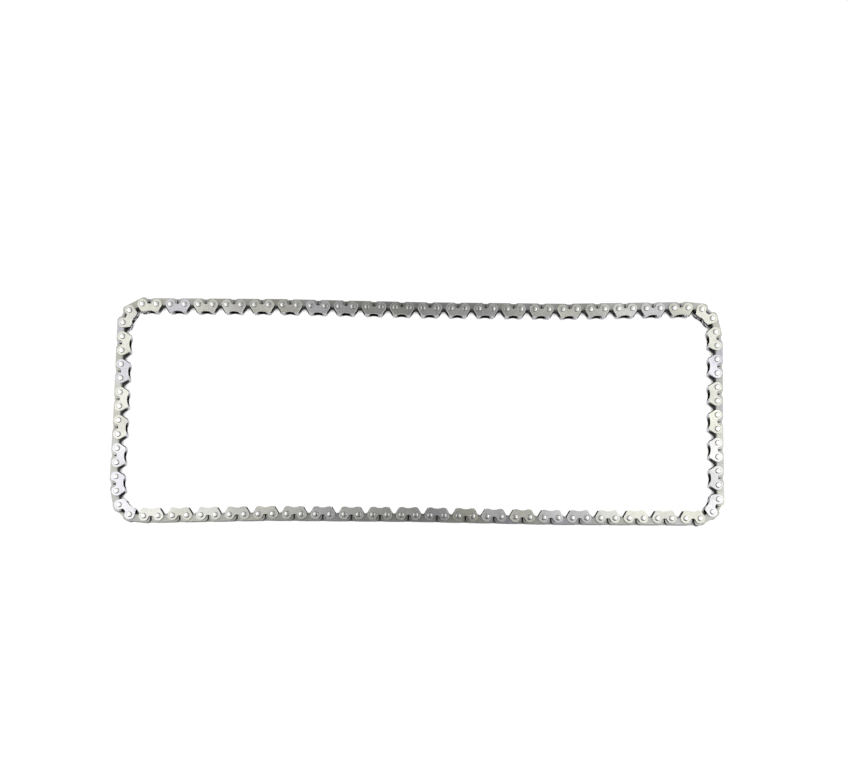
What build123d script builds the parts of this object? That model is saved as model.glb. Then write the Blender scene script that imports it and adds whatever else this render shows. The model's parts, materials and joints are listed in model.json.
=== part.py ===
"""Silent timing chain: an endless loop of toothed plates on round pins, laid on its side.

The frame: Z is the direction of the pins and the width of the chain, and the pins' lower ends lie
at Z = 0. The origin is the middle of the loop. The teeth point into the loop.
"""

import os
from math import acos, atan2, cos, hypot, radians, sin, tan

from build123d import *

# Driving dimensions, in millimetres and degrees

# Pins
pitch = 8.0
pin_diameter = 3.0
pin_stand_out = 0.35

# The stack of plates across the chain
guide_thickness = 1.0
lamination_thickness = 1.25
laminations_in_pair = 2
side_clearance = 0.03
turning_clearance = 0.04

# Guide plates: two round ears, a valley between them at the back, and two short blunt toes
guide_gap = 2.3
guide_valley = 0.2
guide_valley_radius = 0.9
guide_toe_depth = 4.4
guide_toe_beyond_pin = 0.6
guide_toe_within_pin = 1.15
guide_arch_rise = 0.6

# Toothed plates: a flat back, slanted flanks and two blunt teeth. The sides of the crotch between
# them would meet above the line of the pins, at crotch_top.
plate_gap = 0.7
plate_back = 3.5
plate_back_radius = 2.2
tooth_depth = 4.4
tooth_tip_width = 1.95
flank_angle = 30.0
flank_top = 0.3
crotch_top = 0.45
crotch_radius = 1.4

# The loop as it lies, clockwise from its top left corner. Each line names a stretch that moves as
# one, then the stretch opposite it, and gives the headings of its links. The links of the opposite
# stretch head the other way, so the loop closes whatever the headings are.
long_stretch = 10
short_stretch = 6
half_loop = [
    ("top_left_guide_link", "bottom_right_guide_link", [63.9]),
    ("top_left_plate_link", "bottom_right_plate_link", [27.6]),
    ("top_run_1", "bottom_run_1", [-0.2] * long_stretch),
    ("top_run_2", "bottom_run_2", [-1.1] * long_stretch),
    ("top_run_3", "bottom_run_3", [-0.4] * long_stretch),
    ("top_run_4", "bottom_run_4", [1.0] * (long_stretch - 1) + [-5.8]),
    ("top_right_guide_link", "bottom_left_guide_link", [-42.1]),
    ("top_right_plate_link", "bottom_left_plate_link", [-78.4]),
    ("right_run_1", "left_run_1", [-85.6] + [-91.4] * (short_stretch - 1)),
    ("right_run_2", "left_run_2", [-90.8] * short_stretch),
]
half_turn = 180.0

# Sizes that follow from them
pin_radius = pin_diameter / 2
turning_radius = pin_radius + turning_clearance
ear_radius = (pitch - guide_gap) / 2
plate_reach = (pitch - plate_gap) / 2
plate_pair = laminations_in_pair * lamination_thickness
lower_guide = pin_stand_out
lower_turning_pair = lower_guide + guide_thickness + side_clearance
pressed_pair = lower_turning_pair + plate_pair + side_clearance
upper_turning_pair = pressed_pair + plate_pair + side_clearance
upper_guide = upper_turning_pair + plate_pair + side_clearance
chain_width = upper_guide + guide_thickness + pin_stand_out


def touch_point(corner_x, corner_y, radius):
    """Where the line from a toe's corner touches the ear round the first pin."""
    to_corner = atan2(corner_y, corner_x)
    angle = to_corner - acos(radius / hypot(corner_x, corner_y))
    return radius * cos(angle), radius * sin(angle)


# Guide plate: its two holes are pressed on the pins
touch_x, touch_y = touch_point(-guide_toe_beyond_pin, -guide_toe_depth, ear_radius)
with BuildPart() as guide_plate:
    with BuildSketch() as guide_outline:
        with Locations((0, 0), (pitch, 0)):
            Circle(ear_radius)
        with BuildLine() as web:
            Polyline(
                (touch_x, touch_y),
                (-guide_toe_beyond_pin, -guide_toe_depth),
                (pitch + guide_toe_beyond_pin, -guide_toe_depth),
                (pitch - touch_x, touch_y),
                (pitch, guide_valley),
                (0, guide_valley),
                close=True,
            )
        make_face()
        valley_ends = guide_outline.vertices().filter_by(
            lambda v: abs(v.Y - guide_valley) < 1e-6 and 0 < v.X < pitch
        )
        fillet(valley_ends, radius=guide_valley_radius)
        with BuildLine() as arch:
            toe_end = (guide_toe_within_pin, -guide_toe_depth)
            other_toe_end = (pitch - guide_toe_within_pin, -guide_toe_depth)
            ThreePointArc(toe_end, (pitch / 2, guide_arch_rise - guide_toe_depth), other_toe_end)
            Line(other_toe_end, toe_end)
        make_face(mode=Mode.SUBTRACT)
        with Locations((0, 0), (pitch, 0)):
            Circle(pin_radius, mode=Mode.SUBTRACT)
    extrude(amount=guide_thickness)


def toothed_plate(hole_radius):
    """The laminations of one toothed link that lie face to face, as one solid."""
    flank_run = (tooth_depth - flank_top) * tan(radians(flank_angle))
    tip_outside = flank_run - plate_reach
    tip_inside = tip_outside + tooth_tip_width
    with BuildPart() as plate:
        with BuildSketch() as outline:
            with BuildLine():
                Polyline(
                    (-plate_reach, plate_back),
                    (-plate_reach, -flank_top),
                    (tip_outside, -tooth_depth),
                    (tip_inside, -tooth_depth),
                    (pitch / 2, crotch_top),
                    (pitch - tip_inside, -tooth_depth),
                    (pitch - tip_outside, -tooth_depth),
                    (pitch + plate_reach, -flank_top),
                    (pitch + plate_reach, plate_back),
                    close=True,
                )
            make_face()
            fillet(outline.vertices().group_by(Axis.Y)[-1], radius=plate_back_radius)
            crotch = outline.vertices().filter_by(
                lambda v: abs(v.X - pitch / 2) < 1e-6 and v.Y < plate_back
            )
            fillet(crotch, radius=crotch_radius)
            with Locations((0, 0), (pitch, 0)):
                Circle(hole_radius, mode=Mode.SUBTRACT)
        extrude(amount=plate_pair)
    return plate.part


# Toothed plates of a guide link are pressed on its pins, and those of a plate link turn on them
pressed_plates = toothed_plate(pin_radius)
turning_plates = toothed_plate(turning_radius)

# Pin: it stands out a little from both guide plates
with BuildPart() as pin:
    Cylinder(pin_radius, chain_width, align=(Align.CENTER, Align.CENTER, Align.MIN))


def walk_round(stretches):
    """The start and heading of each link of each stretch, with the loop's middle at the origin."""
    x = y = 0.0
    links = {}
    starts = []
    for name, headings in stretches:
        links[name] = []
        for heading in headings:
            links[name].append((x, y, heading))
            starts.append((x, y))
            x += pitch * cos(radians(heading))
            y += pitch * sin(radians(heading))
    middle_x = sum(start[0] for start in starts) / len(starts)
    middle_y = sum(start[1] for start in starts) / len(starts)
    return {
        name: [(x - middle_x, y - middle_y, heading) for x, y, heading in found]
        for name, found in links.items()
    }


def placed(shape, link, height, along=0.0):
    """A copy of a plate or pin on a link, at a height and a distance along the link."""
    x, y, heading = link
    x += along * cos(radians(heading))
    y += along * sin(radians(heading))
    return shape.moved(Location((x, y, height), (0, 0, heading)))


def write(name, pieces):
    """One sub-part: the like pieces of one stretch, each its own solid."""
    group = Compound(label=name, children=pieces)
    export_step(group, f"parts/{name}.step")


stretches = [(name, headings) for name, opposite, headings in half_loop]
stretches += [
    (opposite, [heading + half_turn for heading in headings])
    for name, opposite, headings in half_loop
]

os.makedirs("parts", exist_ok=True)
first = 0
for name, links in walk_round(stretches).items():
    # Guide links and plate links take turns round the loop, and the loop starts with a guide link
    guide_links = links[first % 2 :: 2]
    plate_links = links[1 - first % 2 :: 2]
    first += len(links)
    toothed = [placed(pressed_plates, link, pressed_pair) for link in guide_links]
    for height in (lower_turning_pair, upper_turning_pair):
        toothed += [placed(turning_plates, link, height) for link in plate_links]
    write(f"{name}_toothed_plates", toothed)
    if guide_links:
        heights = (lower_guide, upper_guide)
        guides = [placed(guide_plate.part, link, height) for link in guide_links for height in heights]
        write(f"{name}_guide_plates", guides)
        pins = [placed(pin.part, link, 0, along) for link in guide_links for along in (0, pitch)]
        write(f"{name}_pins", pins)
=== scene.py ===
"""The looks of a silent timing chain that lies on its side in a loop, on a white floor.

The frame gives the pins' places. Every plate and pin is modelled once in its own axes, where the
first pin of a link is the origin, X runs along the link and Y points out of the loop, and is then
laid on each link of the chain.
"""

import json
import random
from math import acos, atan2, cos, hypot, pi, radians, sin, tan

import bmesh
import bpy
from bpy.props import FloatProperty, FloatVectorProperty, IntProperty, PointerProperty
from mathutils import Matrix, Vector


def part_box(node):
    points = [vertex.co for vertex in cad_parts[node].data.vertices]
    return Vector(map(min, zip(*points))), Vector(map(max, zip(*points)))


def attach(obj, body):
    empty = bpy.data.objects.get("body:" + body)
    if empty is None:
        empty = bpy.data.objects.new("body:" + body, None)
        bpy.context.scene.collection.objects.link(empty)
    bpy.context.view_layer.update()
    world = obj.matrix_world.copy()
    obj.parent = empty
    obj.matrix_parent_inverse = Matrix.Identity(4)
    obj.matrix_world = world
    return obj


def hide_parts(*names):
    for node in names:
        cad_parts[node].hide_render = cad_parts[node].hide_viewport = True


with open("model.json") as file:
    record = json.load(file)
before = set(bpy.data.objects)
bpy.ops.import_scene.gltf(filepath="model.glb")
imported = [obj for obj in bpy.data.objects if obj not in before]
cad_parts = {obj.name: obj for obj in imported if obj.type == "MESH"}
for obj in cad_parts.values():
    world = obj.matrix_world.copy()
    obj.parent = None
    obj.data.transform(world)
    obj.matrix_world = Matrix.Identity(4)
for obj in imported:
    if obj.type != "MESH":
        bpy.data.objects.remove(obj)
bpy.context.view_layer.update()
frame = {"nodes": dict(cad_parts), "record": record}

bl_info = {
    "name": "Timing Chain",
    "version": (1, 0, 0),
    "blender": (4, 5, 0),
    "location": "3D View > Sidebar > Timing Chain",
    "description": "Builds the plates and pins of a silent timing chain round its loop",
    "category": "Add Mesh",
}

MM = 0.001
SAME_PLACE = 0.002 * MM
TINT = "tint"
PLATE_MAP = "plate_map"
RISE = "rise"

# A face is level where the upright part of its normal is over this
LEVEL = 0.95
# Steps of the arcs
EAR_STEPS = 12
VALLEY_STEPS = 4
ARCH_STEPS = 4
BACK_STEPS = 5
CROTCH_STEPS = 3
GUIDE_HOLE_STEPS = 12
PLATE_HOLE_STEPS = 10
PIN_STEPS = 18
# Share of the ear's radius, measured from a pin, at which the walls of a guide plate's valley begin
VALLEY_WALL = 0.67
# A pin's end from its middle outwards: shares of its radius, and of its stand-out downwards
PIN_END = ((0.66, 0.05), (0.78, 0.20), (0.88, 0.50), (1.0, 1.0))
# Share of the radius past which a pin's end takes the painted shade of its rim
PIN_RIM = 0.78
# Most plates lean to the warm tint
TINT_LEAN = 1.6
# Each plate takes its grain from a place of its own in a field of this many mm
GRAIN_FIELD = 500
# Black of painted shade, mixed with old oil, for the gaps and valleys between the plates
PAINTED_SHADE_AND_OIL = (0.012, 0.012, 0.013, 1)
# Material slots of the guide plates, the toothed plates and the pins
FACE = 0
EDGE = 1
# The third slot holds painted shade with old oil: the guide plates' inner faces and valley walls,
# and the toothed plates' tooth edges
SHADED_OILY = TOOTH = 2
PRESSED = 3


# Places of the pins and links, read from the frame


def clustered(points, reach):
    """The middles of the groups of points that lie within reach of each other."""
    groups = []
    for point in points:
        for group in groups:
            if (point - group[0]).length < reach:
                group.append(point)
                break
        else:
            groups.append([point])
    middles = []
    for group in groups:
        low = Vector([min(values) for values in zip(*group)])
        high = Vector([max(values) for values in zip(*group)])
        middles.append((low + high) / 2)
    return middles


def chain_links(pin_reach):
    """Each link's body, first pin and heading, clockwise, beginning with a guide link."""
    pins = []
    for body in frame["record"]["behaviour"]["bodies"]:
        node = frame["nodes"].get(f"{body}_pins")
        if node is not None:
            points = {vertex.co.xy.to_tuple(6) for vertex in node.data.vertices}
            middles = clustered(map(Vector, sorted(points)), pin_reach)
            pins += [(middle, body) for middle in middles]
    pins.sort(key=lambda pin: -atan2(pin[0].y, pin[0].x))
    first = next(at for at, pin in enumerate(pins) if "guide_link" in pin[1])
    if pins[first][1] != pins[first + 1][1]:
        raise RuntimeError("the pins of the first guide link are not side by side")
    pins = pins[first:] + pins[:first]
    links = []
    for at, (start, body) in enumerate(pins):
        end = pins[(at + 1) % len(pins)][0]
        if at % 2:
            body = pins[at - 1][1].replace("guide_link", "plate_link")
        along = end - start
        heading = atan2(along.y, along.x)
        links.append({"body": body, "start": start, "heading": heading, "pitch": along.length})
    return links


class ChainSizes(bpy.types.PropertyGroup):
    """Sizes of the plates and pins, in metres."""

    pin_diameter: FloatProperty(
        name="Pin Diameter", description="Diameter of a pin", default=3.0 * MM, unit="LENGTH"
    )
    head_diameter: FloatProperty(
        name="Head Diameter",
        description="Diameter of a pin's riveted end",
        default=3.1 * MM,
        unit="LENGTH",
    )
    pin_stand_out: FloatProperty(
        name="Pin Stand-out",
        description="How far a pin stands out of a guide plate",
        default=0.35 * MM,
        unit="LENGTH",
    )
    guide_thickness: FloatProperty(
        name="Guide Thickness",
        description="Thickness of a guide plate",
        default=1.0 * MM,
        unit="LENGTH",
    )
    lamination_thickness: FloatProperty(
        name="Lamination Thickness",
        description="Thickness of one toothed plate",
        default=1.25 * MM,
        unit="LENGTH",
    )
    side_clearance: FloatProperty(
        name="Side Clearance",
        description="Room between neighbouring plates",
        default=0.03 * MM,
        unit="LENGTH",
    )
    ear_radius: FloatProperty(
        name="Ear Radius",
        description="Radius of a guide plate round its pins",
        default=2.85 * MM,
        unit="LENGTH",
    )
    guide_valley: FloatProperty(
        name="Guide Valley",
        description="Height of a guide plate's valley over the pins",
        default=0.2 * MM,
        unit="LENGTH",
    )
    guide_valley_radius: FloatProperty(
        name="Valley Radius",
        description="Radius at each end of the valley",
        default=0.9 * MM,
        unit="LENGTH",
    )
    guide_toe_depth: FloatProperty(
        name="Guide Toe Depth",
        description="Depth of a guide plate's toes under the pins",
        default=4.4 * MM,
        unit="LENGTH",
    )
    guide_toe_beyond_pin: FloatProperty(
        name="Toe Beyond Pin",
        description="How far a toe reaches out past its pin",
        default=0.6 * MM,
        unit="LENGTH",
    )
    guide_toe_within_pin: FloatProperty(
        name="Toe Within Pin",
        description="How far a toe reaches in past its pin",
        default=1.15 * MM,
        unit="LENGTH",
    )
    guide_arch_rise: FloatProperty(
        name="Guide Arch Rise",
        description="Rise of the arch between the toes",
        default=0.6 * MM,
        unit="LENGTH",
    )
    plate_reach: FloatProperty(
        name="Plate Reach",
        description="Reach of a toothed plate past its pins",
        default=3.65 * MM,
        unit="LENGTH",
    )
    plate_back: FloatProperty(
        name="Plate Back",
        description="Height of a toothed plate's back over the pins",
        default=3.5 * MM,
        unit="LENGTH",
    )
    plate_back_radius: FloatProperty(
        name="Plate Back Radius",
        description="Radius at each end of the back",
        default=2.2 * MM,
        unit="LENGTH",
    )
    tooth_depth: FloatProperty(
        name="Tooth Depth",
        description="Depth of the teeth under the pins",
        default=4.4 * MM,
        unit="LENGTH",
    )
    tooth_tip_width: FloatProperty(
        name="Tooth Tip Width",
        description="Width of a tooth's tip",
        default=1.95 * MM,
        unit="LENGTH",
    )
    flank_angle: FloatProperty(
        name="Flank Angle",
        description="Slant of a tooth's outer flank",
        default=radians(30),
        subtype="ANGLE",
    )
    flank_top: FloatProperty(
        name="Flank Top",
        description="Depth at which the flank begins",
        default=0.3 * MM,
        unit="LENGTH",
    )
    crotch_top: FloatProperty(
        name="Crotch Top",
        description="Height over the pins at which the crotch's sides would meet",
        default=0.45 * MM,
        unit="LENGTH",
    )
    crotch_radius: FloatProperty(
        name="Crotch Radius",
        description="Radius at the top of the crotch",
        default=1.4 * MM,
        unit="LENGTH",
    )
    guide_edge: FloatProperty(
        name="Guide Edge",
        description="Rounding of a guide plate's edges",
        default=0.10 * MM,
        unit="LENGTH",
    )
    plate_edge: FloatProperty(
        name="Plate Edge",
        description="Chamfer of a toothed plate's edges",
        default=0.07 * MM,
        unit="LENGTH",
    )


class ChainFinish(bpy.types.PropertyGroup):
    """Colours of the steels."""

    guide_warm: FloatVectorProperty(
        name="Guide, Warm",
        description="Guide plate with a straw tint",
        default=(0.68, 0.68, 0.60),
        subtype="COLOR",
    )
    guide_cool: FloatVectorProperty(
        name="Guide, Cool",
        description="Guide plate with a violet tint",
        default=(0.66, 0.65, 0.70),
        subtype="COLOR",
    )
    plate_warm: FloatVectorProperty(
        name="Toothed Plate, Warm",
        description="Toothed plate with a straw tint",
        default=(0.47, 0.47, 0.42),
        subtype="COLOR",
    )
    plate_cool: FloatVectorProperty(
        name="Toothed Plate, Cool",
        description="Toothed plate with a violet tint",
        default=(0.45, 0.45, 0.48),
        subtype="COLOR",
    )
    back_edge: FloatVectorProperty(
        name="Back Edge",
        description="Blanked back of a toothed plate",
        default=(0.13, 0.13, 0.14),
        subtype="COLOR",
    )
    # Painted shade, with old oil, of the flank and crotch near the pins
    tooth_shade_and_oil: FloatVectorProperty(
        name="Tooth, Shaded and Oily",
        description="Flank and crotch near the pins",
        default=(0.010, 0.010, 0.011),
        subtype="COLOR",
    )
    tooth_tip: FloatVectorProperty(
        name="Tooth, Rubbed",
        description="Tip of a tooth",
        default=(0.60, 0.59, 0.63),
        subtype="COLOR",
    )
    pin_steel: FloatVectorProperty(
        name="Pin",
        description="Riveted end of a ground pin",
        default=(0.88, 0.88, 0.85),
        subtype="COLOR",
    )
    # Painted shade of a pin end's rim
    shaded_pin_rim: FloatVectorProperty(
        name="Pin Rim",
        description="Rim of a riveted end",
        default=(0.20, 0.20, 0.20),
        subtype="COLOR",
    )


class StudioSettings(bpy.types.PropertyGroup):
    """Camera and lamps."""

    lens: FloatProperty(
        name="Lens",
        description="Focal length in millimetres",
        default=67.92,
        unit="CAMERA",
    )
    camera_tilt: FloatProperty(
        name="Camera Tilt",
        description="Lean of the view from straight down",
        default=radians(8.67),
        subtype="ANGLE",
    )
    camera_side: FloatProperty(
        name="Camera Side",
        description="Sideways lean of the view",
        default=radians(-1.03),
        subtype="ANGLE",
    )
    camera_distance: FloatProperty(
        name="Camera Distance", description="Distance from the aim", default=0.9073, unit="LENGTH"
    )
    camera_aim: FloatVectorProperty(
        name="Camera Aim",
        description="Point in the middle of the view",
        default=(0.00265, 0.01131, 0.01032),
        unit="LENGTH",
    )
    side_lamp_power: FloatProperty(
        name="Side Lamp Power",
        description="Power of each side lamp in watts",
        default=2.6,
        unit="POWER",
    )
    side_lamp_reach: FloatProperty(
        name="Side Lamp Reach",
        description="Distance of the side lamps",
        default=0.42,
        unit="LENGTH",
    )
    side_lamp_height: FloatProperty(
        name="Side Lamp Height", description="Height of the side lamps", default=0.26, unit="LENGTH"
    )
    sky: FloatProperty(name="Sky", description="Strength of the room's own light", default=0.55)
    scrim_height: FloatProperty(
        name="Scrim Height",
        description="Height of the scrim over the chain",
        default=0.34,
        unit="LENGTH",
    )
    scrim_middle: FloatProperty(
        name="Scrim Middle", description="Strength of the scrim over the middle", default=0.0
    )
    scrim_ends: FloatProperty(
        name="Scrim Ends",
        description="Strength of the scrim at its ends",
        default=1.3,
    )
    scrim_half_width: FloatProperty(
        name="Scrim Half Width",
        description="Distance at which the scrim is bright",
        default=0.20,
        unit="LENGTH",
    )
    grain_seed: IntProperty(
        name="Grain Seed",
        description="Seed of the plates' variation",
        default=7,
    )


# Lines and edges


def line_to(bm, vertex, x, y):
    """The line from a vertex to a point, and the new vertex at its end."""
    end = bmesh.ops.extrude_vert_indiv(bm, verts=[vertex])["verts"][0]
    end.co = (x, y, 0)
    return end


def arc_round(bm, vertex, x, y, angle, steps):
    """The arc that a vertex draws as it turns about a centre, and the vertex at its end."""
    turned = bmesh.ops.spin(
        bm,
        geom=[vertex],
        cent=(x, y, 0),
        axis=(0, 0, 1),
        angle=angle,
        steps=steps,
        use_duplicate=False,
    )
    return next(part for part in turned["geom_last"] if isinstance(part, bmesh.types.BMVert))


def plate_of(bm, pitch, hole_radius, hole_steps, thickness, edge):
    """A half outline, mirrored, bored at both pins, given its thickness and broken at its edges."""
    half = Matrix.Translation((-pitch / 2, 0, 0))
    bmesh.ops.mirror(bm, geom=bm.verts[:] + bm.edges[:], matrix=half, axis="X")
    bmesh.ops.remove_doubles(bm, verts=bm.verts[:], dist=SAME_PLACE)
    outline = bm.edges[:]
    for x in (0, pitch):
        hole = Matrix.Translation((x, 0, 0))
        bmesh.ops.create_circle(bm, segments=hole_steps, radius=hole_radius, matrix=hole)
    bmesh.ops.triangle_fill(bm, edges=bm.edges[:], use_beauty=True, use_dissolve=True)
    rim = {frozenset(v.co.xy.to_tuple(7) for v in e.verts) for e in outline if e.is_valid}
    top = bmesh.ops.extrude_face_region(bm, geom=bm.faces[:])["geom"]
    top = [part for part in top if isinstance(part, bmesh.types.BMVert)]
    bmesh.ops.translate(bm, vec=(0, 0, thickness), verts=top)
    bmesh.ops.recalc_face_normals(bm, faces=bm.faces[:])
    corners = [
        e
        for e in bm.edges
        if frozenset(v.co.xy.to_tuple(7) for v in e.verts) in rim
        and e.verts[0].co.z == e.verts[1].co.z
    ]
    bmesh.ops.bevel(
        bm,
        geom=corners,
        offset=edge,
        offset_type="OFFSET",
        segments=1,
        profile=0.5,
        affect="EDGES",
        clamp_overlap=True,
        material=-1,
    )


def laid_out(bm, name, slot_of):
    """The finished shape as a mesh, with its faces' slots, its tint layer, its points' rise over
    the line of the pins in mm, and its own plate map in mm."""
    rise = bm.verts.layers.float.new(RISE)
    for vertex in bm.verts:
        vertex[rise] = vertex.co.y / MM
    tint = bm.faces.layers.float.new(TINT)
    plate_map = bm.loops.layers.uv.new(PLATE_MAP)
    for face in bm.faces:
        face.smooth = True
        face.material_index = slot_of(face)
        face[tint] = 0.5
        flat = abs(face.normal.z) > 0.5
        for loop in face.loops:
            x, y, z = loop.vert.co / MM
            loop[plate_map].uv = (x, y) if flat else (x + y, z)
    mesh = bpy.data.meshes.new(name)
    bm.to_mesh(mesh)
    bm.free()
    return mesh


# Templates


def guide_plate_shape(sizes, pitch):
    """A guide plate: two round ears, a valley between them and two blunt toes."""
    radius, valley_radius = sizes.ear_radius, sizes.guide_valley_radius
    valley_x = ((radius + valley_radius) ** 2 - (sizes.guide_valley + valley_radius) ** 2) ** 0.5
    valley_y = sizes.guide_valley + valley_radius
    valley_turn = atan2(valley_y, valley_x)
    toe_x, toe_y = -sizes.guide_toe_beyond_pin, -sizes.guide_toe_depth
    touch = atan2(toe_y, toe_x) - acos(radius / hypot(toe_x, toe_y))
    chord, rise = pitch / 2 - sizes.guide_toe_within_pin, sizes.guide_arch_rise
    arch_radius = (chord**2 + rise**2) / (2 * rise)
    arch_turn = atan2(chord, arch_radius - rise)
    bm = bmesh.new()
    vertex = bm.verts.new((pitch / 2, sizes.guide_valley, 0))
    vertex = line_to(bm, vertex, valley_x, sizes.guide_valley)
    vertex = arc_round(bm, vertex, valley_x, valley_y, valley_turn - pi / 2, VALLEY_STEPS)
    vertex = arc_round(bm, vertex, 0, 0, touch % (2 * pi) - valley_turn, EAR_STEPS)
    vertex = line_to(bm, vertex, toe_x, toe_y)
    vertex = line_to(bm, vertex, sizes.guide_toe_within_pin, toe_y)
    arc_round(bm, vertex, pitch / 2, toe_y + rise - arch_radius, -arch_turn, ARCH_STEPS)
    hole = sizes.pin_diameter / 2
    plate_of(bm, pitch, hole, GUIDE_HOLE_STEPS, sizes.guide_thickness, sizes.guide_edge)
    valley_half = pitch / 2 - VALLEY_WALL * radius

    def slot_of(face):
        if abs(face.normal.z) > LEVEL:
            return FACE
        place = face.calc_center_median()
        # The walls of the valley take painted shade, black, with old oil
        return SHADED_OILY if place.y > 0 and abs(place.x - pitch / 2) < valley_half else EDGE

    return laid_out(bm, "guide_plate_shape", slot_of)


def toothed_plate_shape(sizes, pitch):
    """A toothed plate: a flat back, slanted flanks and two teeth with a crotch between them."""
    reach, back, corner = sizes.plate_reach, sizes.plate_back, sizes.plate_back_radius
    depth, crotch = sizes.tooth_depth, sizes.crotch_radius
    tip_x = (depth - sizes.flank_top) * tan(sizes.flank_angle) - reach
    inner_x = tip_x + sizes.tooth_tip_width
    slope = atan2(pitch / 2 - inner_x, depth + sizes.crotch_top)
    crotch_y = sizes.crotch_top - crotch / sin(slope)
    bm = bmesh.new()
    vertex = bm.verts.new((pitch / 2, back, 0))
    vertex = line_to(bm, vertex, corner - reach, back)
    vertex = arc_round(bm, vertex, corner - reach, back - corner, pi / 2, BACK_STEPS)
    vertex = line_to(bm, vertex, -reach, -sizes.flank_top)
    vertex = line_to(bm, vertex, tip_x, -depth)
    vertex = line_to(bm, vertex, inner_x, -depth)
    vertex = line_to(bm, vertex, pitch / 2 - crotch * cos(slope), crotch_y + crotch * sin(slope))
    arc_round(bm, vertex, pitch / 2, crotch_y, slope - pi / 2, CROTCH_STEPS)
    hole = sizes.pin_diameter / 2
    plate_of(bm, pitch, hole, PLATE_HOLE_STEPS, sizes.lamination_thickness, sizes.plate_edge)

    def slot_of(face):
        if abs(face.normal.z) > LEVEL:
            return FACE
        # Edges under the flank's top take the tooth edge, with its painted shade near the pins
        return EDGE if face.calc_center_median().y > -sizes.flank_top else TOOTH

    return laid_out(bm, "toothed_plate_shape", slot_of)


def pin_shape(sizes, width):
    """A pin with a flat, riveted end and a rim darkened by painted shade at each side of the chain.
    """
    radius, head, dome = sizes.pin_diameter / 2, sizes.head_diameter / 2, sizes.pin_stand_out
    bm = bmesh.new()
    vertex = bm.verts.new((0, 0, width))
    for share_out, share_down in PIN_END:
        below = bmesh.ops.extrude_vert_indiv(bm, verts=[vertex])["verts"][0]
        below.co = (head * share_out, 0, width - dome * share_down)
        vertex = below
    shank = bmesh.ops.extrude_vert_indiv(bm, verts=[vertex])["verts"][0]
    shank.co = (radius, 0, width - dome)
    middle = bmesh.ops.extrude_vert_indiv(bm, verts=[shank])["verts"][0]
    middle.co = (radius, 0, width / 2)
    half = Matrix.Translation((0, 0, -width / 2))
    bmesh.ops.mirror(bm, geom=bm.verts[:] + bm.edges[:], matrix=half, axis="Z")
    bmesh.ops.spin(
        bm,
        geom=bm.verts[:] + bm.edges[:],
        cent=(0, 0, 0),
        axis=(0, 0, 1),
        angle=2 * pi,
        steps=PIN_STEPS,
        use_merge=True,
    )
    bmesh.ops.remove_doubles(bm, verts=bm.verts[:], dist=SAME_PLACE)
    bmesh.ops.recalc_face_normals(bm, faces=bm.faces[:])
    rim = radius * PIN_RIM

    def slot_of(face):
        return FACE if face.calc_center_median().xy.length < rim else EDGE

    return laid_out(bm, "pin_shape", slot_of)


# Materials


class Nodes:
    """A material's node tree, with short calls to add nodes and join them."""

    def __init__(self, name):
        self.material = bpy.data.materials.new(name)
        self.material.use_nodes = True
        self.tree = self.material.node_tree
        self.shader = self.tree.nodes["Principled BSDF"]
        self.surface = self.tree.nodes["Material Output"].inputs["Surface"]

    def add(self, kind, values=None, **settings):
        node = self.tree.nodes.new(f"ShaderNode{kind}")
        for key, value in settings.items():
            setattr(node, key, value)
        for socket, value in (values or {}).items():
            if isinstance(value, bpy.types.NodeSocket):
                self.tree.links.new(value, node.inputs[socket])
            else:
                node.inputs[socket].default_value = value
        return node

    def join(self, output, socket):
        self.tree.links.new(output, self.shader.inputs[socket])

    def set(self, **values):
        for key, value in values.items():
            self.shader.inputs[key.replace("_", " ")].default_value = value

    def plate_place(self, scale_along, scale_across):
        """Places on the plate itself, in mm, stretched along and across it."""
        place = self.add("UVMap", uv_map=PLATE_MAP).outputs["UV"]
        values = {"Vector": place, "Scale": (scale_along, scale_across, 1)}
        return self.add("Mapping", values).outputs[0]

    def noise(self, place, scale, detail=3.0, roughness=0.6):
        values = {"Vector": place, "Scale": scale, "Detail": detail, "Roughness": roughness}
        return self.add("TexNoise", values).outputs["Fac"]

    def ramped(self, value, low, high, to_low, to_high):
        values = {"Value": value, "From Min": low, "From Max": high}
        values.update({"To Min": to_low, "To Max": to_high})
        return self.add("MapRange", values).outputs[0]

    def varied(self, noise, low, high):
        """A noise, whose usual spread is 0.3 to 0.7, brought between two values."""
        return self.ramped(noise, 0.3, 0.7, low, high)

    def band(self, value, start, end, at_start, at_end):
        """A smooth passage from one level to another, between two places."""
        values = {"Value": value, "From Min": start, "From Max": end}
        values.update({"To Min": at_start, "To Max": at_end})
        return self.add("MapRange", values, interpolation_type="SMOOTHSTEP").outputs[0]

    def mixed(self, factor, a, b, blend="MIX"):
        node = self.add("Mix", data_type="RGBA", blend_type=blend)
        for at, value in ((0, factor), (6, a), (7, b)):
            if isinstance(value, bpy.types.NodeSocket):
                self.tree.links.new(value, node.inputs[at])
            else:
                node.inputs[at].default_value = value
        return node.outputs[2]

    def grey(self, shade):
        return self.add("CombineColor", {"Red": shade, "Green": shade, "Blue": shade}).outputs[0]

    def bump(self, heights, distance, strength):
        values = {"Height": heights, "Distance": distance, "Strength": strength}
        self.join(self.add("Bump", values).outputs["Normal"], "Normal")

    def rolling_lines(self, roughness):
        """Fine lines along the steel strip, in its roughness and its bump."""
        lines = self.noise(self.plate_place(0.25, 5), 2.2)
        self.join(self.varied(lines, roughness - 0.03, roughness + 0.05), "Roughness")
        self.bump(lines, 0.01 * MM, 0.3)
        self.set(Metallic=0.85)


def rgba(colour):
    return (*colour, 1.0)


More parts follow.
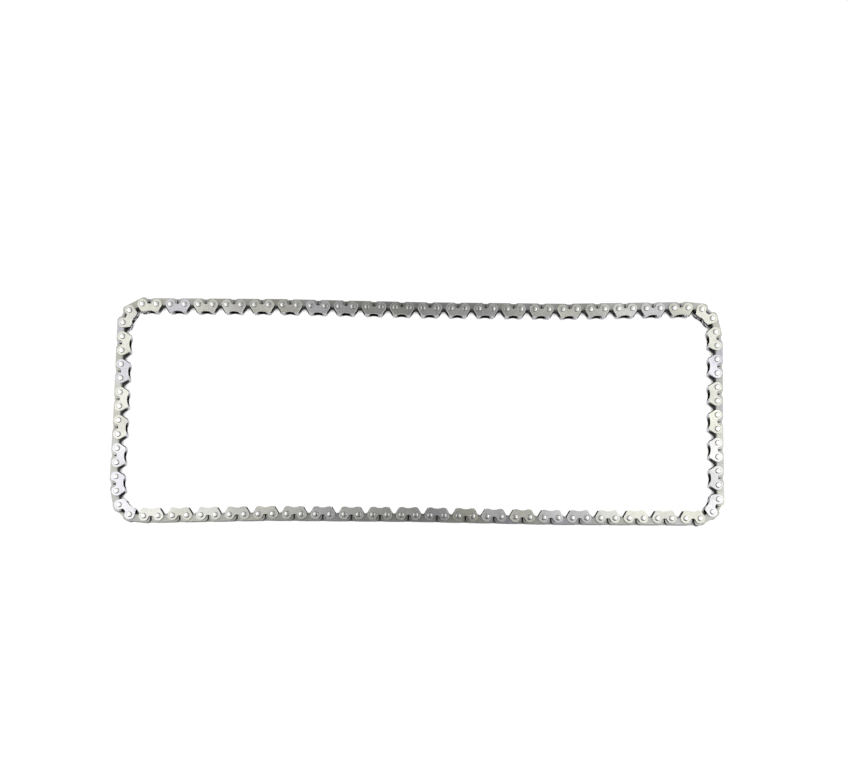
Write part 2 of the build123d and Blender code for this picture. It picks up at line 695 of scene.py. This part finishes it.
def tinted(nodes, warm, cool, dark, light):
    """Steel with a slight tint of its own for each plate, and mottling."""
    tint = nodes.add("Attribute", attribute_name=TINT).outputs["Fac"]
    base = nodes.mixed(tint, rgba(warm), rgba(cool))
    shade = nodes.varied(nodes.noise(nodes.plate_place(1, 1), 0.45), dark, light)
    own = nodes.varied(nodes.noise(nodes.plate_place(1, 1), 0.05, 0.0), 0.86, 1.12)
    both = nodes.add("Math", {0: shade, 1: own}, operation="MULTIPLY").outputs[0]
    return nodes.mixed(1.0, base, nodes.grey(both), "MULTIPLY")


def rolled_face(name, warm, cool, roughness, shade_from, shade_to):
    """Tumbled steel strip with fine rolling lines, and painted shade with old oil below a given
    rise.
    """
    nodes = Nodes(name)
    base = tinted(nodes, warm, cool, 0.88, 1.06)
    rise = nodes.add("Attribute", attribute_name=RISE).outputs["Fac"]
    smear = nodes.varied(nodes.noise(nodes.plate_place(1, 1), 0.9), -0.25, 0.25)
    shaded_rise = nodes.add("Math", {0: rise, 1: smear}, operation="ADD").outputs[0]
    # Painted shade, with old oil, darkens the face below the given rise, where it lies in the gaps
    # and valleys between the guide plates
    shade_and_oil = nodes.ramped(shaded_rise, shade_from, shade_to, 0.0, 1.0)
    nodes.join(nodes.mixed(shade_and_oil, base, PAINTED_SHADE_AND_OIL), "Base Color")
    nodes.rolling_lines(roughness)
    return nodes.material


def guide_face(name, warm, cool, roughness):
    """Tumbled steel strip with fine rolling lines."""
    nodes = Nodes(name)
    nodes.join(tinted(nodes, warm, cool, 0.92, 1.06), "Base Color")
    nodes.rolling_lines(roughness)
    return nodes.material


def rubbed_edge(name, warm, cool, roughness):
    """The rubbed edge of a stamped plate."""
    nodes = Nodes(name)
    nodes.join(tinted(nodes, warm, cool, 0.85, 1.05), "Base Color")
    worn = nodes.noise(nodes.plate_place(1, 0.3), 1.6)
    nodes.join(nodes.varied(worn, roughness - 0.05, roughness + 0.1), "Roughness")
    nodes.set(Metallic=0.6)
    return nodes.material


def shaded_oily_face(name):
    """The inner face of a guide plate and the walls of its valley, black with painted shade and old
    oil.
    """
    nodes = Nodes(name)
    shade = nodes.varied(nodes.noise(nodes.plate_place(1, 1), 0.8), 0.006, 0.014)
    nodes.join(nodes.grey(shade), "Base Color")
    nodes.set(Metallic=0.0, Roughness=0.7, Specular_IOR_Level=0.1)
    return nodes.material


def blanked_edge(name, colour, roughness, metallic, specular):
    """A blanked edge, with drag lines across the plate's thickness and a film of oil."""
    nodes = Nodes(name)
    drag = nodes.noise(nodes.plate_place(6, 0.5), 1.4)
    shade = nodes.grey(nodes.varied(drag, 0.7, 1.25))
    nodes.join(nodes.mixed(1.0, rgba(colour), shade, "MULTIPLY"), "Base Color")
    nodes.bump(drag, 0.01 * MM, 0.3)
    nodes.set(Metallic=metallic, Roughness=roughness, Specular_IOR_Level=specular)
    return nodes.material


def tooth_edge(name, shade_and_oil, tip):
    """The edge of a tooth: rubbed by the sprocket at its tip, and black further in with painted
    shade and old oil.
    """
    nodes = Nodes(name)
    rise = nodes.add("Attribute", attribute_name=RISE).outputs["Fac"]
    drag = nodes.noise(nodes.plate_place(6, 0.5), 1.4)
    uneven = nodes.varied(drag, -0.2, 0.2)
    worn = nodes.add("Math", {0: rise, 1: uneven}, operation="ADD").outputs[0]
    # Painted shade, with old oil, darkens the flanks and crotch nearer the pins, and the tips are
    # rubbed light
    rubbed_clear_of_shade = nodes.ramped(worn, -3.3, -4.5, 0.0, 1.0)
    nodes.join(nodes.mixed(rubbed_clear_of_shade, rgba(shade_and_oil), rgba(tip)), "Base Color")
    nodes.bump(drag, 0.01 * MM, 0.3)
    nodes.set(Metallic=0.3, Roughness=0.55, Specular_IOR_Level=0.2)
    return nodes.material


def pin_finish(colour):
    """Ground and hammered pin ends."""
    nodes = Nodes("riveted_pin_steel")
    dents = nodes.noise(nodes.plate_place(1, 1), 1.3)
    shade = nodes.grey(nodes.varied(dents, 0.92, 1.04))
    nodes.join(nodes.mixed(1.0, rgba(colour), shade, "MULTIPLY"), "Base Color")
    nodes.join(nodes.varied(dents, 0.22, 0.3), "Roughness")
    nodes.set(Metallic=0.95)
    return nodes.material


def shaded_pin_rim(colour):
    """The rim of a pin's riveted end and its shank, darkened by painted shade."""
    nodes = Nodes("riveted_pin_rim")
    dents = nodes.noise(nodes.plate_place(1, 1), 1.3)
    shade = nodes.grey(nodes.varied(dents, 0.8, 1.1))
    nodes.join(nodes.mixed(1.0, rgba(colour), shade, "MULTIPLY"), "Base Color")
    nodes.set(Metallic=0.7, Roughness=0.5)
    return nodes.material


# Pieces


def laid_on(bm, shape, link, height, tint, shift):
    """The faces of a shape's copy on a link, at a height, with its own tint and grain."""
    vertices_before, faces_before = len(bm.verts), len(bm.faces)
    bm.from_mesh(shape)
    bm.verts.ensure_lookup_table()
    bm.faces.ensure_lookup_table()
    place = Matrix.Translation((*link["start"], height)) @ Matrix.Rotation(link["heading"], 4, "Z")
    bmesh.ops.transform(bm, matrix=place, verts=bm.verts[vertices_before:])
    tint_layer = bm.faces.layers.float[TINT]
    plate_map = bm.loops.layers.uv[PLATE_MAP]
    faces = bm.faces[faces_before:]
    for face in faces:
        face[tint_layer] = tint
        for loop in face.loops:
            loop[plate_map].uv += shift
    return faces


def own_grain(draw):
    """A place of its own in the grain for one plate or pin."""
    return Vector((draw.uniform(0, GRAIN_FIELD), draw.uniform(0, GRAIN_FIELD)))


def piece_of(bm, name, body, node, materials):
    """The piece that stands for a node, riding on its body."""
    mesh = bpy.data.meshes.new(name)
    bm.to_mesh(mesh)
    bm.free()
    mesh.set_sharp_from_angle(angle=radians(20))
    for material in materials:
        mesh.materials.append(material)
    piece = bpy.data.objects.new(name, mesh)
    bpy.context.scene.collection.objects.link(piece)
    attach(piece, body)
    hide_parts(node)


def by_body(links):
    """The links of each body, with their places round the loop."""
    bodies = {}
    for at, link in enumerate(links):
        bodies.setdefault(link["body"], []).append((at, link))
    return bodies


def chain_setup(context):
    """The sizes, the finishes, the links and the pitch."""
    scene = context.scene
    links = chain_links(scene.chain_sizes.head_diameter)
    pitch = sum(link["pitch"] for link in links) / len(links)
    return scene.chain_sizes, scene.chain_finish, links, pitch


class TIMINGCHAIN_OT_guide_plates(bpy.types.Operator):
    """Adds the guide plates on both sides of each guide link"""

    bl_idname = "timing_chain.guide_plates"
    bl_label = "Guide Plates"

    def execute(self, context):
        sizes, finish, links, pitch = chain_setup(context)
        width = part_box("top_run_1_pins")[1][2]
        shape = guide_plate_shape(sizes, pitch)
        lower = sizes.pin_stand_out
        upper = width - sizes.pin_stand_out - sizes.guide_thickness
        materials = [
            guide_face("tumbled_guide_steel", finish.guide_warm, finish.guide_cool, 0.30),
            rubbed_edge("rubbed_guide_edge", finish.guide_warm, finish.guide_cool, 0.4),
            shaded_oily_face("shaded_oily_inner_face"),
        ]
        draw = random.Random(context.scene.chain_studio.grain_seed)
        for body, own in by_body(links).items():
            guides = [link for at, link in own if at % 2 == 0]
            if not guides:
                continue
            bm = bmesh.new()
            for link in guides:
                for height, inward in ((lower, 1), (upper, -1)):
                    shift = own_grain(draw)
                    tint = draw.random() ** TINT_LEAN
                    for face in laid_on(bm, shape, link, height, tint, shift):
                        # The inner faces take painted shade, black, with old oil
                        if face.normal.z * inward > LEVEL:
                            face.material_index = SHADED_OILY
            node = f"{body}_guide_plates"
            piece_of(bm, f"{body}_guides", body, node, materials)
        bpy.data.meshes.remove(shape)
        return {"FINISHED"}


class TIMINGCHAIN_OT_toothed_plates(bpy.types.Operator):
    """Adds the toothed plates: one pair on each guide link and two pairs on each plate link"""

    bl_idname = "timing_chain.toothed_plates"
    bl_label = "Toothed Plates"

    def execute(self, context):
        sizes, finish, links, pitch = chain_setup(context)
        shape = toothed_plate_shape(sizes, pitch)
        thickness, room = sizes.lamination_thickness, sizes.side_clearance
        lowest = sizes.pin_stand_out + sizes.guide_thickness + room
        pair_step = 2 * thickness + room
        plate_tints = finish.plate_warm, finish.plate_cool
        materials = [
            # Painted shade with old oil darkens the toothed plates' faces below the pins' line, and
            # the pressed pair's faces in the guide plates' valley
            rolled_face("rolled_plate_steel", *plate_tints, 0.34, 0.2, -1.0),
            blanked_edge("blanked_back_edge", finish.back_edge, 0.45, 0.6, 0.4),
            tooth_edge("tooth_edge", finish.tooth_shade_and_oil, finish.tooth_tip),
            rolled_face("rolled_pressed_steel", *plate_tints, 0.34, 2.8, 1.4),
        ]
        draw = random.Random(context.scene.chain_studio.grain_seed + 1)
        for body, own in by_body(links).items():
            bm = bmesh.new()
            for at, link in own:
                pairs = (1,) if at % 2 == 0 else (0, 2)
                for pair in pairs:
                    for layer in (0, 1):
                        height = lowest + pair * pair_step + layer * thickness
                        shift = own_grain(draw)
                        tint = draw.random() ** TINT_LEAN
                        faces = laid_on(bm, shape, link, height, tint, shift)
                        for face in faces if pair == 1 else ():
                            if face.material_index == FACE:
                                face.material_index = PRESSED
            node = f"{body}_toothed_plates"
            piece_of(bm, f"{body}_laminations", body, node, materials)
        bpy.data.meshes.remove(shape)
        return {"FINISHED"}


class TIMINGCHAIN_OT_pins(bpy.types.Operator):
    """Adds the riveted pins of each guide link"""

    bl_idname = "timing_chain.pins"
    bl_label = "Pins"

    def execute(self, context):
        sizes, finish, links, pitch = chain_setup(context)
        shape = pin_shape(sizes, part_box("top_run_1_pins")[1][2])
        materials = [pin_finish(finish.pin_steel), shaded_pin_rim(finish.shaded_pin_rim)]
        draw = random.Random(context.scene.chain_studio.grain_seed + 2)
        for body, own in by_body(links).items():
            guides = [(at, link) for at, link in own if at % 2 == 0]
            if not guides:
                continue
            bm = bmesh.new()
            for at, link in guides:
                for end in (link, links[(at + 1) % len(links)]):
                    shift = own_grain(draw)
                    laid_on(bm, shape, end, 0, draw.random(), shift)
            piece_of(bm, f"{body}_riveted_pins", body, f"{body}_pins", materials)
        bpy.data.meshes.remove(shape)
        return {"FINISHED"}


# The studio

FLOOR_HALF = 3.0
SCRIM_HALF = 0.6
LAMP_SIZE = (0.8, 0.36)
CARD_HALF = 0.7
CARD_PLACE = -0.6
SENSOR_WIDTH = 36.0
CLIP_START = 0.01
# The floor is painted black, as shade, where the first share of what lies within this reach is
# open, and white from the second share on
GAP_REACH = 8 * MM
GAP_OPEN = (0.20, 0.31)
FLOOR_GLOW = 1.03
# What the camera sees of the floor is nearly all glow
GLOW_SHARE = 0.97


def seen_share(tree):
    """1 for what the camera, gloss or glass sees, and 0 for the light that reaches the steel."""
    path = tree.nodes.new("ShaderNodeLightPath")
    seen = path.outputs["Is Camera Ray"]
    for ray in ("Is Glossy Ray", "Is Transmission Ray"):
        either = tree.nodes.new("ShaderNodeMath")
        either.operation = "MAXIMUM"
        tree.links.new(seen, either.inputs[0])
        tree.links.new(path.outputs[ray], either.inputs[1])
        seen = either.outputs[0]
    return seen


def white_floor():
    """A floor that the camera sees as white, with painted shade in the gaps that the chain closes
    in.
    """
    nodes = Nodes("white_floor")
    nodes.set(Base_Color=(0.9, 0.9, 0.9, 1), Roughness=0.9)
    open_share = nodes.add("AmbientOcclusion", {"Distance": GAP_REACH}, samples=16).outputs["AO"]
    # Painted shade: the floor's glow fades where the chain closes it in
    strength = nodes.ramped(open_share, *GAP_OPEN, 0.0, FLOOR_GLOW)
    glow = nodes.add("Emission", {"Color": (1, 1, 1, 1), "Strength": strength})
    seen = seen_share(nodes.tree)
    share = nodes.add("Math", {0: seen, 1: GLOW_SHARE}, operation="MULTIPLY").outputs[0]
    mix = nodes.add("MixShader", {0: share, 1: nodes.shader.outputs[0], 2: glow.outputs[0]})
    nodes.tree.links.new(mix.outputs[0], nodes.surface)
    return nodes.material


def front_card(height):
    """A dark upright card in front of the chain, that darkens what the steel mirrors."""
    card = Nodes("front_card")
    card.set(Base_Color=(0.03, 0.03, 0.03, 1), Roughness=1.0)
    place = Matrix.Translation((0, CARD_PLACE, height / 2)) @ Matrix.Rotation(pi / 2, 4, "X")
    size = Matrix.Diagonal((CARD_HALF, height / 2, 1, 1))
    flat_sheet("front_card", place @ size, card.material).visible_camera = False


def scrim_light(studio):
    """Light of a scrim over the chain: dim over the middle and towards the camera, bright at its
    ends, with a faint glow further back and beside it."""
    nodes = Nodes("scrim_light")
    place = nodes.add("TexCoord").outputs["Object"]
    axes = nodes.add("SeparateXYZ", {"Vector": place}).outputs
    back = axes["Y"]
    aside = nodes.add("Math", {0: axes["X"]}, operation="ABSOLUTE").outputs[0]
    ends = nodes.band(aside, 0.0, studio.scrim_half_width, studio.scrim_middle, studio.scrim_ends)
    near = nodes.band(back, -0.20, -0.05, 0.05, 1.0)
    behind = nodes.band(back, 0.0, 0.15, 1.0, 0.5)
    far = nodes.band(back, 0.25, 0.45, 0.0, 0.2)
    sides = nodes.band(aside, 0.17, 0.26, 0.0, 0.3)
    across = nodes.add("Math", {0: near, 1: behind}, operation="MULTIPLY").outputs[0]
    further = nodes.add("Math", {0: far, 1: sides}, operation="ADD").outputs[0]
    strength = {0: ends, 1: across, 2: further}
    strength = nodes.add("Math", strength, operation="MULTIPLY_ADD").outputs[0]
    glow = nodes.add("Emission", {"Strength": strength})
    nodes.tree.links.new(glow.outputs[0], nodes.surface)
    return nodes.material


def flat_sheet(name, place, material):
    """A flat square of the stage, laid out by a matrix."""
    bm = bmesh.new()
    bmesh.ops.create_grid(bm, x_segments=1, y_segments=1, size=1.0, matrix=place)
    mesh = bpy.data.meshes.new(name)
    bm.to_mesh(mesh)
    bm.free()
    mesh.materials.append(material)
    sheet = bpy.data.objects.new(name, mesh)
    bpy.context.scene.collection.objects.link(sheet)
    return sheet


def area_lamp(name, place, power):
    """A soft lamp that faces the middle of the chain."""
    lamp = bpy.data.lights.new(name, "AREA")
    lamp.shape = "RECTANGLE"
    lamp.size, lamp.size_y = LAMP_SIZE
    lamp.energy = power
    holder = bpy.data.objects.new(name, lamp)
    holder.location = place
    holder.rotation_euler = (-Vector(place)).to_track_quat("-Z", "Y").to_euler()
    bpy.context.scene.collection.objects.link(holder)


def room_light(strength):
    """Light of an even room. The camera, gloss and glass see it as white."""
    world = bpy.data.worlds.new("white_room")
    world.use_nodes = True
    tree = world.node_tree
    background = tree.nodes["Background"]
    background.inputs["Color"].default_value = (1, 1, 1, 1)
    level = tree.nodes.new("ShaderNodeMapRange")
    tree.links.new(seen_share(tree), level.inputs["Value"])
    level.inputs["To Min"].default_value = strength
    level.inputs["To Max"].default_value = 1.0
    tree.links.new(level.outputs[0], background.inputs["Strength"])
    bpy.context.scene.world = world


class TIMINGCHAIN_OT_studio(bpy.types.Operator):
    """Adds the floor, the scrim and the lamps, the dark card in front and the camera"""

    bl_idname = "timing_chain.studio"
    bl_label = "Studio"

    def execute(self, context):
        studio = context.scene.chain_studio
        flat_sheet("floor", Matrix.Diagonal((FLOOR_HALF, FLOOR_HALF, 1, 1)), white_floor())
        height = studio.scrim_height
        overhead = Matrix.Translation((0, 0, height)) @ Matrix.Scale(SCRIM_HALF, 4)
        flat_sheet("scrim", overhead, scrim_light(studio)).visible_camera = False
        front_card(height)
        for side, name in ((-1, "left_soft_lamp"), (1, "right_soft_lamp")):
            place = (side * studio.side_lamp_reach, 0, studio.side_lamp_height)
            area_lamp(name, place, studio.side_lamp_power)
        room_light(studio.sky)
        camera = bpy.data.cameras.new("camera")
        camera.lens = studio.lens
        camera.sensor_width = SENSOR_WIDTH
        camera.clip_start = CLIP_START
        holder = bpy.data.objects.new("camera", camera)
        turn = Matrix.Rotation(studio.camera_side, 4, "Y")
        turn = turn @ Matrix.Rotation(studio.camera_tilt, 4, "X")
        away = turn @ Vector((0, 0, studio.camera_distance))
        holder.matrix_world = Matrix.Translation(Vector(studio.camera_aim) + away) @ turn
        context.scene.collection.objects.link(holder)
        context.scene.camera = holder
        context.scene.view_settings.view_transform = "Standard"
        return {"FINISHED"}


class TIMINGCHAIN_PT_panel(bpy.types.Panel):
    """Sizes, finishes and steps of the timing chain"""

    bl_idname = "TIMINGCHAIN_PT_panel"
    bl_label = "Timing Chain"
    bl_space_type = "VIEW_3D"
    bl_region_type = "UI"
    bl_category = "Timing Chain"

    def draw(self, context):
        scene = context.scene
        for group in (scene.chain_sizes, scene.chain_finish, scene.chain_studio):
            box = self.layout.box()
            for name in group.__annotations__:
                box.prop(group, name)
        for operator in OPERATORS:
            self.layout.operator(operator.bl_idname)


OPERATORS = (
    TIMINGCHAIN_OT_guide_plates,
    TIMINGCHAIN_OT_toothed_plates,
    TIMINGCHAIN_OT_pins,
    TIMINGCHAIN_OT_studio,
)
GROUPS = (
    ("chain_sizes", ChainSizes),
    ("chain_finish", ChainFinish),
    ("chain_studio", StudioSettings),
)


def register():
    for name, group in GROUPS:
        bpy.utils.register_class(group)
        setattr(bpy.types.Scene, name, PointerProperty(type=group))
    for operator in OPERATORS:
        bpy.utils.register_class(operator)
    bpy.utils.register_class(TIMINGCHAIN_PT_panel)


def unregister():
    bpy.utils.unregister_class(TIMINGCHAIN_PT_panel)
    for operator in OPERATORS:
        bpy.utils.unregister_class(operator)
    for name, group in GROUPS:
        delattr(bpy.types.Scene, name)
        bpy.utils.unregister_class(group)


def main():
    register()
    bpy.ops.timing_chain.guide_plates()
    bpy.ops.timing_chain.toothed_plates()
    bpy.ops.timing_chain.pins()
    bpy.ops.timing_chain.studio()


if __name__ == "__main__":
    main()
